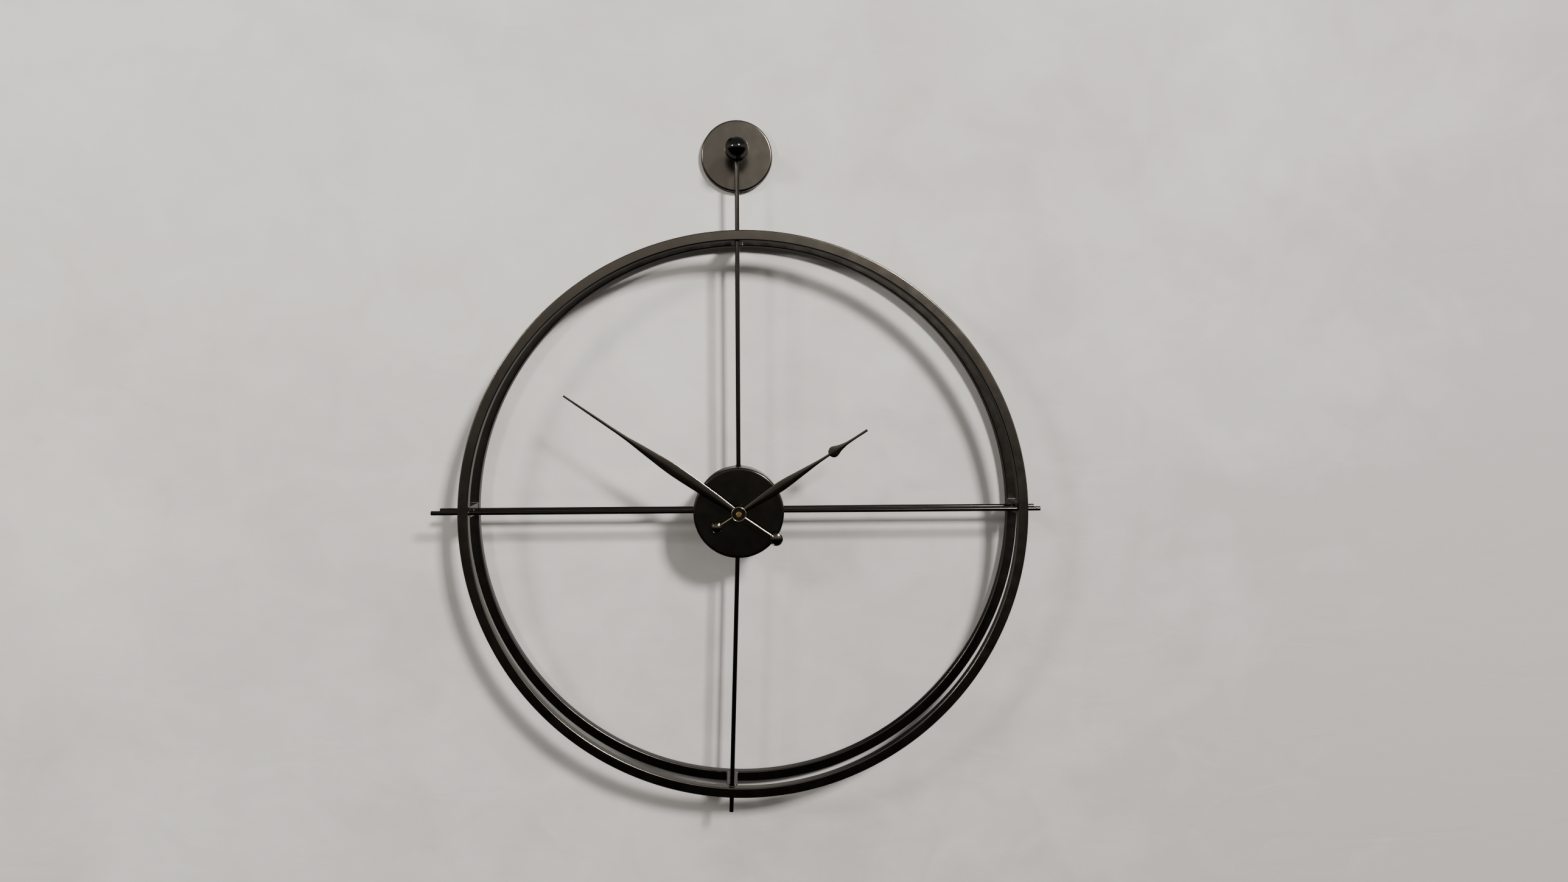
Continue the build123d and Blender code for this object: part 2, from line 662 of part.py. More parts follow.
def electronics():
    """Circuit board, its sealed chip and the tuning-fork crystal's can."""
    board_x, board_z, board_back = 20.6, 5.0, 13.6
    with BuildPart() as board:
        with BuildSketch(clock_plane(at(board_back))):
            with Locations((board_x, board_z)):
                RectangleRounded(10.0, 28.0, 0.6)
        extrude(amount=0.8)
    save(board.part, "circuit_board")
    with BuildPart() as chip:
        with BuildSketch(clock_plane(at(board_back - 0.8))):
            with Locations((board_x, board_z + 5)):
                Circle(3.0)
        extrude(amount=1.1, taper=25)
    save(chip.part, "chip")
    with BuildPart() as crystal:
        with BuildSketch(Plane(origin=(board_x, -at(board_back - 0.8 - 1.1), CENTRE_Z - 7.0),
                               z_dir=(0, 0, 1))):
            Circle(1.0)
        extrude(amount=6.0)
    save(crystal.part, "crystal")


def battery_contacts():
    """Flat positive contact and a folded leaf for the negative end."""
    inside = CASE / 2 - CASE_WALL
    depth = at(BATTERY_SETBACK)
    z = CENTRE_Z + BATTERY_Z
    with BuildPart() as plus:
        with Locations((inside - 0.2, -depth, z)):
            Box(0.4, 9.0, 9.0)
    save(plus.part, "contact_plus")
    with BuildPart() as minus:
        with Locations((0.2 - inside, -depth, z)):
            Box(0.4, 9.0, 9.0)
        with BuildSketch(Plane(origin=(0.4 - inside, -depth, z), z_dir=(1, 0, 0))):
            Circle(3.2)
        extrude(amount=0.7, taper=30)
    save(minus.part, "contact_minus")


def battery():
    """AA cell: the can in its sleeve, and the raised positive cap."""
    depth = at(BATTERY_SETBACK)
    z = CENTRE_Z + BATTERY_Z
    start = -BATTERY_LENGTH / 2 - 0.3
    with BuildPart() as cell:
        with BuildSketch(Plane(origin=(start, -depth, z), z_dir=(1, 0, 0))):
            Circle(BATTERY_D / 2)
        extrude(amount=BATTERY_LENGTH)
        fillet(cell.edges().filter_by(GeomType.CIRCLE), 0.7)
    save(cell.part, "battery_cell")
    with BuildPart() as cap:
        with BuildSketch(Plane(origin=(start + BATTERY_LENGTH, -depth, z), z_dir=(1, 0, 0))):
            Circle(2.75)
        extrude(amount=1.2)
        fillet(cap.faces().sort_by(Axis.X)[-1].edges(), 0.3)
    save(cap.part, "battery_cap")


# ---------------------------------------------------------------- hands
def minute_hand():
    """Long spear with a thin tail bar and a round counterweight."""
    with BuildPart() as hand:
        with BuildSketch(clock_plane(MINUTE_HAND_DEPTH, MINUTE_ANGLE)):
            with BuildLine():
                side = Spline([(half, along) for along, half in MINUTE_BLADE]
                              + [(MINUTE_TIP, MINUTE_LENGTH - MINUTE_TIP)])
                Line((0, MINUTE_BLADE[0][0]), side @ 0)
                Line(side @ 1, (0, MINUTE_LENGTH))
                mirror(about=Plane.YZ)
            make_face()
            with Locations((0, -MINUTE_TAIL / 2)):
                Rectangle(3.0, MINUTE_TAIL)
            with Locations((0, -MINUTE_TAIL)):
                Circle(MINUTE_DISC_R)
            Circle(HUB_BOSS_R - 1.0)
            Circle(ARBOR_R, mode=Mode.SUBTRACT)
        extrude(amount=BLADE)
    save(hand.part, "minute_hand")


def hour_hand():
    """Spade hand: tapered blade, round spade, square pointer and a short tail."""
    with BuildPart() as hand:
        with BuildSketch(clock_plane(HOUR_HAND_DEPTH, HOUR_ANGLE)):
            with BuildLine():
                side = Spline([(half, along) for along, half in HOUR_BLADE])
                Line((0, HOUR_BLADE[0][0]), side @ 0)
                Line(side @ 1, (0, HOUR_BLADE[-1][0]))
                mirror(about=Plane.YZ)
            make_face()
            with Locations((0, SPADE_AT)):
                Circle(SPADE_R)
            with BuildLine():
                flank = Spline([(SPADE_R * 0.93, SPADE_AT + SPADE_R * 0.37), (3.2, SPADE_AT + 12.0),
                                (POINTER, SPADE_END)])
                Line((0, SPADE_AT + SPADE_R * 0.37), flank @ 0)
                Line(flank @ 1, (0, SPADE_END))
                mirror(about=Plane.YZ)
            make_face()
            with Locations((0, (SPADE_END + HOUR_LENGTH - POINTER) / 2)):
                Rectangle(2 * POINTER, HOUR_LENGTH - POINTER - SPADE_END)
            with Locations((0, HOUR_LENGTH - POINTER)):
                Circle(POINTER)
            with Locations((0, -HOUR_TAIL / 2)):
                Rectangle(2.6, HOUR_TAIL)
            with Locations((0, -HOUR_TAIL)):
                Circle(HOUR_DISC_R)
            Circle(HUB_BOSS_R - 1.2)
            Circle(PIPE_R, mode=Mode.SUBTRACT)
        extrude(amount=BLADE)
    save(hand.part, "hour_hand")


def hand_fittings():
    """Collets, the minute arbor, the black hand nut and its brass end."""
    back = HOUR_HAND_DEPTH
    lathe("hour_collet", [(PIPE_R, back - 0.9), (6.5, back - 0.9), (6.5, back), (PIPE_R, back)], CENTRE_Z)
    back = MINUTE_HAND_DEPTH + BLADE
    lathe("minute_collet", [(ARBOR_R, back), (HUB_BOSS_R, back), (HUB_BOSS_R, back + 2.2),
                            (HUB_BOSS_R - 1.0, back + 2.2), (HUB_BOSS_R - 1.4, back + 1.0),
                            (ARBOR_R, back + 1.0)], CENTRE_Z)
    nut = back + 1.0
    lathe("hand_nut", [(ARBOR_R, nut), (7.0, nut), (7.3, nut + 0.5), (6.6, nut + 2.4), (ARBOR_R, nut + 2.4)],
          CENTRE_Z)
    lathe("minute_arbor", [(0, at(CASE_DEPTH - 0.9)), (ARBOR_REAR_R, at(CASE_DEPTH - 0.9)),
                           (ARBOR_REAR_R, at(5.3)), (ARBOR_R, at(5.3)), (ARBOR_R, nut + 2.4),
                           (0, nut + 2.4)], CENTRE_Z)
    tip = nut + 2.4
    lathe("brass_tip", [(0, tip), (3.3, tip), (3.3, tip + 0.8), (2.6, tip + 1.5), (0, tip + 1.5)], CENTRE_Z)


# ---------------------------------------------------------------- build everything
wall_bracket()
canopy()
stem()
pivot_collar()
ball_knob()
stop_ring()
pivot_eye()
cross_rods()
hoop("front_ring", FRONT_RING_BACK, drilled=True)
hoop("rear_ring", WALL_GAP, drilled=False)
spacer_blocks()
hub_drum()
hub_face()
bushing_set()
case_tray()
case_cover()
train_plate()
motion_work()
stepping_train()
motor()
electronics()
battery_contacts()
battery()
minute_hand()
hour_hand()
hand_fittings()
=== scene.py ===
"""Looks of the pendulum wall clock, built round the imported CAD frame.

Metres throughout, in the CAD's frame: +Z up, the front faces -Y, and the wall is the plane y = 0.
"""
import json
from math import atan2, cos, pi, radians, sin, tan

import bmesh
import bpy
from mathutils import Matrix, Vector, noise


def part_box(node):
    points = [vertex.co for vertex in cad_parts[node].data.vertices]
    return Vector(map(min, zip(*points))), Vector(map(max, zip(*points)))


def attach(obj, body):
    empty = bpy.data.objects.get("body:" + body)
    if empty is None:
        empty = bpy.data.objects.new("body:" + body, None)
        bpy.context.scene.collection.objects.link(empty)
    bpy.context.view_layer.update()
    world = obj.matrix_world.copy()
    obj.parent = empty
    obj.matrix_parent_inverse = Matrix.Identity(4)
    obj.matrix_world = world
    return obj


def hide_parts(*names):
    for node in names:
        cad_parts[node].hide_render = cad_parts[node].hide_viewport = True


MM = 0.001

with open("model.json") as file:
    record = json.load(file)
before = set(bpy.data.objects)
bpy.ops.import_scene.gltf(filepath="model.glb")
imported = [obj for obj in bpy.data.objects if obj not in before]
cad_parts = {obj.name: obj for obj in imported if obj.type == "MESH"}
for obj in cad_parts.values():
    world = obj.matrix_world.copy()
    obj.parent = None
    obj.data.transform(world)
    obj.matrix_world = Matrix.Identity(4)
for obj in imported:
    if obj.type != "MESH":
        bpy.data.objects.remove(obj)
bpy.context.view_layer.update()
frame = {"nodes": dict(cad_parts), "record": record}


# ---------------------------------------------------------------- places read from the frame
def middle(node):
    """Centre of a node's box."""
    low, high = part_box(node)
    return (Vector(low) + Vector(high)) / 2


def size(node):
    """Extents of a node's box."""
    low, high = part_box(node)
    return Vector(high) - Vector(low)


def front(node):
    """The y of a node's front; the viewer is on the -Y side."""
    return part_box(node)[0][1]


def back(node):
    """The y of a node's back."""
    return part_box(node)[1][1]


def rod_ends(node):
    """Middle points of a rod's two ends, the lower or left one first."""
    extent = size(node)
    axis = max(range(3), key=lambda i: extent[i])
    points = sorted((v.co for v in frame["nodes"][node].data.vertices), key=lambda p: p[axis])
    reach = 0.2 * MM
    ends = []
    for limit, test in ((points[0][axis] + reach, lambda v, t: v <= t),
                        (points[-1][axis] - reach, lambda v, t: v >= t)):
        group = [p for p in points if test(p[axis], limit)]
        low = Vector([min(p[i] for p in group) for i in range(3)])
        high = Vector([max(p[i] for p in group) for i in range(3)])
        ends.append((low + high) / 2)
    return ends


HUB = middle("hub_face")
HOOP_R = size("front_ring").x / 2
TUBE = size("front_ring").y
HUB_R = size("hub_face").x / 2
DRUM_R = size("hub_drum").x / 2
ROD_R = size("suspension_rod").x / 2
STEM_R = 4.0 * MM
SHEET = 1.2 * MM


# ---------------------------------------------------------------- materials
def set_stops(ramp, stops):
    """Give a colour ramp node its (position, colour) stops."""
    elements = ramp.color_ramp.elements
    while len(elements) < len(stops):
        elements.new(0.5)
    for element, (position, colour) in zip(elements, stops):
        element.position = position
        element.color = (*colour, 1)


class Graph:
    """One node-based material with short ways to add what most of them share."""

    def __init__(self, name, colour=(0.5, 0.5, 0.5), metallic=0.0, roughness=0.5, **sockets):
        self.material = bpy.data.materials.new(name)
        self.material.use_nodes = True
        self.tree = self.material.node_tree
        self.shader = self.tree.nodes["Principled BSDF"]
        self.set("Base Color", (*colour, 1))
        self.set("Metallic", metallic)
        self.set("Roughness", roughness)
        for socket, value in sockets.items():
            self.set(socket.replace("_", " "), value)
        self.height = None

    def set(self, socket, value):
        self.shader.inputs[socket].default_value = value

    def add(self, kind, **settings):
        made = self.tree.nodes.new("ShaderNode" + kind)
        for key, value in settings.items():
            setattr(made, key, value)
        return made

    def link(self, source, target):
        self.tree.links.new(source, target)

    def drive(self, socket, source):
        self.link(source, self.shader.inputs[socket])

    def place(self, stretch=(1, 1, 1)):
        """Object coordinates, so the pattern stays on the piece as it moves."""
        mapping = self.add("Mapping")
        mapping.inputs["Scale"].default_value = stretch
        self.link(self.add("TexCoord").outputs["Object"], mapping.inputs["Vector"])
        return mapping.outputs["Vector"]

    def noise(self, scale, detail=4.0, stretch=(1, 1, 1), distortion=0.0):
        made = self.add("TexNoise")
        self.link(self.place(stretch), made.inputs["Vector"])
        made.inputs["Scale"].default_value = scale
        made.inputs["Detail"].default_value = detail
        made.inputs["Distortion"].default_value = distortion
        return made.outputs["Fac"]

    def cells(self, scale, feature="F1"):
        made = self.add("TexVoronoi", feature=feature)
        self.link(self.place(), made.inputs["Vector"])
        made.inputs["Scale"].default_value = scale
        return made.outputs["Distance"]

    def bands(self, scale, direction, distortion):
        made = self.add("TexWave", wave_type="BANDS", bands_direction=direction)
        self.link(self.place(), made.inputs["Vector"])
        made.inputs["Scale"].default_value = scale
        made.inputs["Distortion"].default_value = distortion
        made.inputs["Detail"].default_value = 2.0
        return made.outputs["Fac"]

    def level(self, source, low, high, start=0.0, end=1.0):
        """Map start..end of a value to low..high."""
        made = self.add("MapRange")
        for socket, value in (("From Min", start), ("From Max", end), ("To Min", low), ("To Max", high)):
            made.inputs[socket].default_value = value
        self.link(source, made.inputs["Value"])
        return made.outputs["Result"]

    def sum(self, first, *others):
        """Add values together."""
        for other in others:
            made = self.add("Math", operation="ADD")
            self.link(first, made.inputs[0])
            self.link(other, made.inputs[1])
            first = made.outputs["Value"]
        return first

    def ramp(self, source, *stops):
        """Colour ramp of (position, colour) stops."""
        made = self.add("ValToRGB")
        set_stops(made, stops)
        self.link(source, made.inputs["Fac"])
        return made.outputs["Color"]

    def bump(self, source, depth, strength=1.0):
        """Add one more layer of relief, depth in metres."""
        made = self.add("Bump")
        made.inputs["Strength"].default_value = strength
        made.inputs["Distance"].default_value = depth
        self.link(source, made.inputs["Height"])
        if self.height:
            self.link(self.height, made.inputs["Normal"])
        self.height = made.outputs["Normal"]
        self.drive("Normal", self.height)


GRAIN_DEPTH = 0.0004 * MM


def black_nickel(name, light, dark, rough, peel=0.0015, edge=0.6):
    """Black nickel plate: cloudy warm tint, uneven polish, faint orange peel and fine grain.

    peel is the depth of the orange peel in millimetres, and edge dims what glancing light mirrors.
    """
    made = Graph(name, metallic=1.0, Specular_Tint=(edge, edge, edge, 1))
    cloud = made.noise(14, detail=3.0, distortion=0.6)
    made.drive("Base Color", made.ramp(cloud, (0.30, dark), (0.70, light)))
    polish = made.noise(60, detail=6.0)
    made.drive("Roughness", made.level(polish, rough[0], rough[1], 0.30, 0.70))
    made.bump(made.noise(420, detail=2.0), peel * MM)
    made.bump(made.noise(900, detail=3.0), GRAIN_DEPTH)
    return made.material


def plated_steel(name, light, dark, rough, stretch):
    """Bright plated or bare sheet steel with rolling lines."""
    made = Graph(name, metallic=1.0)
    lines = made.noise(700, detail=5.0, stretch=stretch)
    made.drive("Base Color", made.ramp(lines, (0.3, dark), (0.7, light)))
    made.drive("Roughness", made.level(made.noise(90), rough[0], rough[1], 0.3, 0.7))
    made.bump(lines, 0.01 * MM)
    return made.material


def moulded(name, light, dark, rough, texture=0.03, sheen=0.4):
    """Moulded plastic: spark-textured skin with a slight change of colour and gloss."""
    made = Graph(name, Specular_IOR_Level=sheen)
    made.drive("Base Color", made.ramp(made.noise(30), (0.35, dark), (0.65, light)))
    made.drive("Roughness", made.level(made.noise(160, detail=5.0), rough[0], rough[1], 0.3, 0.7))
    made.bump(made.cells(1800), texture * MM, 0.6)
    return made.material


def turned_brass(name, light, dark, rough):
    """Turned brass: fine rings from the lathe and a little tarnish."""
    made = Graph(name, metallic=1.0)
    made.drive("Base Color", made.ramp(made.noise(240, detail=5.0), (0.35, dark), (0.7, light)))
    made.drive("Roughness", made.level(made.noise(500), rough[0], rough[1], 0.3, 0.7))
    made.bump(made.bands(900, "Y", 1.0), 0.006 * MM)
    return made.material


def rubber_material():
    """Dull black rubber with a fine grain and a bloom."""
    made = Graph("rubber_black", Specular_IOR_Level=0.3)
    made.drive("Base Color", made.ramp(made.noise(200), (0.3, (0.014, 0.014, 0.015)),
                                       (0.7, (0.03, 0.03, 0.03))))
    made.drive("Roughness", made.level(made.noise(400), 0.7, 0.9))
    made.bump(made.noise(1500, detail=3.0), 0.03 * MM)
    return made.material


def copper_material():
    """Enamelled wire, laid in close turns across the coil."""
    made = Graph("enamelled_copper", metallic=1.0)
    turns = made.bands(1500, "Z", 0.3)
    made.drive("Base Color", made.ramp(turns, (0.2, (0.30, 0.10, 0.04)), (0.8, (0.75, 0.33, 0.15))))
    made.drive("Roughness", made.level(made.noise(300), 0.22, 0.4))
    made.bump(turns, 0.05 * MM)
    return made.material


def board_material():
    """Green solder mask over copper tracks."""
    made = Graph("solder_mask", Coat_Weight=0.4, Coat_Roughness=0.12)
    tracks = made.cells(260, feature="DISTANCE_TO_EDGE")
    made.drive("Base Color", made.ramp(tracks, (0.04, (0.06, 0.26, 0.11)), (0.12, (0.015, 0.12, 0.045))))
    made.drive("Roughness", made.level(made.noise(200), 0.3, 0.45))
    made.bump(made.level(tracks, 1, 0, 0.03, 0.1), 0.03 * MM)
    return made.material


def sleeve_material(low, high):
    """Shrink sleeve of a plain cell: a dark body, a gold band at the positive end, fine print grain."""
    made = Graph("battery_sleeve_print", Coat_Weight=0.5, Coat_Roughness=0.15)
    split = made.add("SeparateXYZ")
    made.link(made.place(), split.inputs["Vector"])
    along = made.level(split.outputs["X"], 0, 1, low, high)
    colour = made.ramp(along, (0.0, (0.012, 0.05, 0.022)), (0.70, (0.014, 0.055, 0.025)),
                       (0.705, (0.42, 0.42, 0.40)), (0.72, (0.42, 0.42, 0.40)),
                       (0.725, (0.60, 0.36, 0.10)), (1.0, (0.52, 0.30, 0.08)))
    made.drive("Base Color", colour)
    made.drive("Roughness", made.level(made.noise(120), 0.28, 0.42))
    made.bump(made.noise(500, stretch=(0.2, 1, 1)), 0.02 * MM)
    return made.material


MATERIALS = {
    "nickel": black_nickel("black_nickel", (0.112, 0.100, 0.084), (0.096, 0.086, 0.073), (0.17, 0.23)),
    "rod_steel": black_nickel("black_nickel_bar", (0.042, 0.038, 0.033), (0.034, 0.031, 0.027),
                              (0.15, 0.20), peel=0.0004),
    "hand_nickel": black_nickel("black_nickel_hands", (0.105, 0.094, 0.076), (0.080, 0.072, 0.060),
                                (0.10, 0.16), edge=0.8),
    "bracket_steel": plated_steel("zinc_plate", (0.60, 0.60, 0.60), (0.42, 0.42, 0.43), (0.28, 0.42),
                                  (0.1, 1, 1)),
    "brass": turned_brass("brass_turned", (0.83, 0.62, 0.28), (0.62, 0.43, 0.17), (0.12, 0.28)),
    "nut_steel": turned_brass("brass_plate", (0.72, 0.58, 0.32), (0.55, 0.42, 0.22), (0.2, 0.35)),
    "rubber": rubber_material(),
    "case_plastic": moulded("case_black", (0.022, 0.022, 0.024), (0.014, 0.014, 0.015), (0.42, 0.58)),
    "plate_plastic": moulded("plate_natural", (0.78, 0.78, 0.74), (0.70, 0.70, 0.66), (0.35, 0.5)),
    "gear_plastic": moulded("gear_acetal", (0.84, 0.81, 0.72), (0.76, 0.73, 0.64), (0.3, 0.45)),
    "knob_plastic": moulded("knob_grey", (0.66, 0.66, 0.64), (0.58, 0.58, 0.56), (0.35, 0.5)),
    "magnet": plated_steel("magnet_coat", (0.22, 0.22, 0.23), (0.15, 0.15, 0.16), (0.25, 0.4), (1, 1, 1)),
    "stator_steel": plated_steel("lamination", (0.55, 0.54, 0.52), (0.40, 0.39, 0.38), (0.3, 0.45),
                                 (1, 0.1, 1)),
    "copper_wire": copper_material(),
    "board": board_material(),
    "epoxy": moulded("potting_black", (0.02, 0.02, 0.02), (0.01, 0.01, 0.01), (0.15, 0.3), 0.01, 0.6),
    "tin_can": plated_steel("tin_plate", (0.78, 0.78, 0.77), (0.62, 0.62, 0.62), (0.18, 0.3), (1, 1, 0.2)),
}
LID_NICKEL = black_nickel("black_nickel_lid", (0.066, 0.060, 0.052), (0.050, 0.046, 0.040), (0.15, 0.21))
# painted shade: a darker copy of the black nickel for the rear hoop, standing in for the dark reflection
# of the front hoop's back in its face
PAINTED_SHADE_NICKEL = black_nickel("black_nickel_rear_painted_shade", (0.074, 0.067, 0.057), (0.060, 0.054, 0.047), (0.18, 0.25))
# painted highlight: a much lighter copy of the black nickel, so the tail bars and collets look as bright
# as where they catch the lamps
PAINTED_HIGHLIGHT_NICKEL = black_nickel("black_nickel_painted_highlight", (0.40, 0.345, 0.25), (0.29, 0.25, 0.18), (0.14, 0.22),
                           edge=0.9)
BALL_NICKEL = black_nickel("black_nickel_ball", (0.050, 0.046, 0.041), (0.038, 0.035, 0.032), (0.03, 0.06),
                           peel=0.0008)
cell_low, cell_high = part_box("battery_cell")
MATERIALS["battery_sleeve"] = sleeve_material(cell_low[0], cell_high[0])

SLOTS = {entry["node"]: entry["material_slot"] for entry in frame["record"]["subparts"]}
for node, slot_name in SLOTS.items():
    mesh = frame["nodes"][node].data
    mesh.materials.clear()
    # collets take the lighter nickel that paints a highlight on them
    mesh.materials.append(PAINTED_HIGHLIGHT_NICKEL if node.endswith("_collet") else MATERIALS[slot_name])


# ---------------------------------------------------------------- mesh helpers
SAME_POINT = 1e-6
SHARP_EDGE = radians(42)


def piece(name, rows, body, slot_name, stands_for=(), loop_rows=False, loop_columns=True, caps=False,
          material=None):
    """Skin a grid of points with quads and give the piece its body, slot and material."""
    width = len(rows[0])
    count = len(rows)
    faces = []
    for i in range(count if loop_rows else count - 1):
        for j in range(width if loop_columns else width - 1):
            i_next = (i + 1) % count
            j_next = (j + 1) % width
            faces.append((i * width + j, i * width + j_next, i_next * width + j_next, i_next * width + j))
    if caps:
        faces.append(tuple(range(width)))
        faces.append(tuple((count - 1) * width + j for j in range(width)))
    mesh = bpy.data.meshes.new(name)
    mesh.from_pydata([point for row in rows for point in row], [], faces)
    shape = bmesh.new()
    shape.from_mesh(mesh)
    bmesh.ops.remove_doubles(shape, verts=shape.verts, dist=SAME_POINT)
    bmesh.ops.recalc_face_normals(shape, faces=shape.faces)
    shape.to_mesh(mesh)
    shape.free()
    return dress(bpy.data.objects.new(name, mesh), body, slot_name, stands_for, material)


def dress(made, body, slot_name, stands_for=(), material=None):
    """Put a finished mesh in the scene with its shading, body, slot and material."""
    bpy.context.scene.collection.objects.link(made)
    mesh = made.data
    mesh.materials.clear()
    mesh.materials.append(material or MATERIALS[slot_name])
    mesh.polygons.foreach_set("use_smooth", [True] * len(mesh.polygons))
    mesh.set_sharp_from_angle(angle=SHARP_EDGE)
    weighted = made.modifiers.new("flat_faces", "WEIGHTED_NORMAL")
    weighted.keep_sharp = True
    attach(made, body)
    if stands_for:
        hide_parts(*stands_for)
    return made


def rounded(corners, closed=True, steps=6):
    """Outline in which every (u, v, radius) corner is an arc."""
    outline = []
    count = len(corners)
    for i, (u, v, radius) in enumerate(corners):
        here = Vector((u, v))
        if radius == 0 or (not closed and i in (0, count - 1)):
            outline.append(here)
            continue
        before = (Vector(corners[i - 1][:2]) - here).normalized()
        after = (Vector(corners[(i + 1) % count][:2]) - here).normalized()
        half = before.angle(after) / 2
        centre = here + (before + after).normalized() * radius / sin(half)
        start = here + before * radius / tan(half) - centre
        end = here + after * radius / tan(half) - centre
        first = atan2(start.y, start.x)
        turn = (atan2(end.y, end.x) - first + pi) % (2 * pi) - pi
        for k in range(steps + 1):
            angle = first + turn * k / steps
            outline.append(centre + Vector((cos(angle), sin(angle))) * radius)
    return outline


def rectangle(half_u, half_v, radius):
    """Corners of a rectangle round the origin, for rounded()."""
    return [(half_u, half_v, radius), (-half_u, half_v, radius), (-half_u, -half_v, radius),
            (half_u, -half_v, radius)]


def turned(name, outline, centre, body, slot_name, stands_for=(), around=160, closed=True, uneven=None,
           material=None):
    """Turn a (radius, y) outline about the Y line through centre; uneven moves each point a little."""
    rows = []
    for i in range(around):
        angle = 2 * pi * i / around
        row = []
        for radius, y in outline:
            if uneven:
                radius, y = uneven(angle, radius, y)
            row.append((centre.x + radius * cos(angle), y, centre.z + radius * sin(angle)))
        rows.append(row)
    return piece(name, rows, body, slot_name, stands_for, loop_rows=True, loop_columns=closed,
                 material=material)


def frame_round(direction):
    """Two unit vectors square to a direction."""
    side = direction.orthogonal().normalized()
    return side, direction.cross(side).normalized()


def bar(name, start, end, radius, body, slot_name, stands_for, bend):
    """Round bar with broken end edges; bend gives a sideways offset along its length."""
    direction = (end - start).normalized()
    length = (end - start).length
    side, up = frame_round(direction)
    around, rings = 40, 24
    break_edge = 0.5 * MM
    stations = [(0, 0), (0, radius - break_edge), (break_edge * 0.3, radius - break_edge * 0.3),
                (break_edge, radius)]
    stations += [(length * k / rings, radius) for k in range(1, rings)]
    stations += [(length - along, r) for along, r in reversed(stations[:4])]
    rows = []
    for along, r in stations:
        centre = start + direction * along + bend(along / length)
        rows.append([centre + (side * cos(2 * pi * j / around) + up * sin(2 * pi * j / around)) * r
                     for j in range(around)])
    return piece(name, rows, body, slot_name, stands_for)


def bead(name, ring, axis, radius, ripples, seed):
    """Weld bead along a closed ring of (point, outward) pairs, rippled like stacked coins."""
    rows = []
    around = 10
    for i, (point, outward) in enumerate(ring):
        step = 2 * pi * i / len(ring)
        lump = noise.noise(Vector((3 * cos(step), 3 * sin(step), seed)))
        r = radius * (1 + 0.16 * cos(ripples * step) + 0.22 * lump)
        rows.append([point + (outward * cos(2 * pi * j / around) + axis * sin(2 * pi * j / around)) * r
                     for j in range(around)])
    return piece(name, rows, "clock", "nickel", loop_rows=True)


def ring_round(centre, axis, radius):
    """Circle of (point, outward) pairs for a bead round a bar."""
    side, up = frame_round(axis)
    ring = []
    count = 60
    for i in range(count):
        angle = 2 * pi * i / count
        outward = side * cos(angle) + up * sin(angle)
        ring.append((centre + outward * radius, outward))
    return ring


# ---------------------------------------------------------------- hoops and spacers
BLOCK_BEAD = 0.75 * MM
DRUM_BEAD = 0.7 * MM
ROD_BEAD = 0.55 * MM


def rolled(phase):
    """Slight waves and twist that rolling leaves in square tube."""
    def uneven(angle, radius, y):
        wave = 0.16 * sin(3 * angle + phase) + 0.07 * sin(8 * angle + 2 * phase) + 0.03 * sin(19 * angle)
        lean = radians(0.12) * sin(4 * angle + phase) + radians(0.05) * sin(11 * angle + 1.7 * phase)
        across = radius - (HOOP_R - TUBE / 2)
        return radius + wave * MM * 0.6, y + across * lean + 0.05 * MM * sin(6 * angle + phase)
    return uneven


def hoop(name, phase, material=None):
    """Square-tube hoop with rolled corners."""
    outer, inner = HOOP_R, HOOP_R - TUBE
    corner = 1.6 * MM
    outline = rounded([(outer, front(name), corner), (outer, back(name), corner),
                       (inner, back(name), corner), (inner, front(name), corner)])
    turned(f"{name}_tube", outline, middle(name), "clock", "nickel", [name], around=480,
           uneven=rolled(phase), material=material)


ARMS = {"right": "middle_rod_right", "left": "middle_rod_left", "bottom": "middle_rod_bottom",
        "top": "suspension_rod"}


def arm_direction(side):
    """Unit direction from the hub along one arm."""
    if side == "top":
        return Vector((0, 0, 1))
    first, last = rod_ends(ARMS[side])
    outward = (last - first).normalized()
    return outward if side == "right" else -outward


def spacer(side):
    """Bevelled block between the hoops with a weld bead round each end."""
    node = f"spacer_block_{side}"
    out = arm_direction(side)
    across = Vector((-out.z, 0, out.x))
    centre = middle(node)
    half_out, half_across = 5.85 * MM, 7.0 * MM
    outline = rounded(rectangle(half_out, half_across, 0.9 * MM), steps=4)
    near, far = front(node), back(node)
    rows = []
    for y in [near + (far - near) * k / 8 for k in range(9)]:
        rows.append([Vector((0, y, 0)) + Vector((centre.x, 0, centre.z)) + out * p.x + across * p.y
                     for p in outline])
    piece(f"{node}_bar", rows, "clock", "nickel", [node], caps=True)
    path = rounded(rectangle(half_out, half_across, 1.6 * MM), steps=9)
    spacing = 0.5 * MM
    dense = []
    for i, point in enumerate(path):
        following = path[(i + 1) % len(path)]
        pieces_here = max(1, round((following - point).length / spacing))
        dense += [point.lerp(following, k / pieces_here) for k in range(pieces_here)]
    sunk = 0.25 * MM
    for end, y, inward in (("front", near, 1), ("rear", far, -1)):
        ring = []
        for point in dense:
            outward = (out * point.x + across * point.y).normalized()
            place = Vector((centre.x, y + inward * sunk, centre.z)) + out * point.x + across * point.y
            ring.append((place, outward))
        bead(f"weld_{side}_{end}", ring, Vector((0, 1, 0)), BLOCK_BEAD, 26, seed=y * 900)


hoop("front_ring", 0.4)
# the rear hoop takes the darker nickel, a painted shade
hoop("rear_ring", 2.1, PAINTED_SHADE_NICKEL)
for side in ARMS:
    spacer(side)


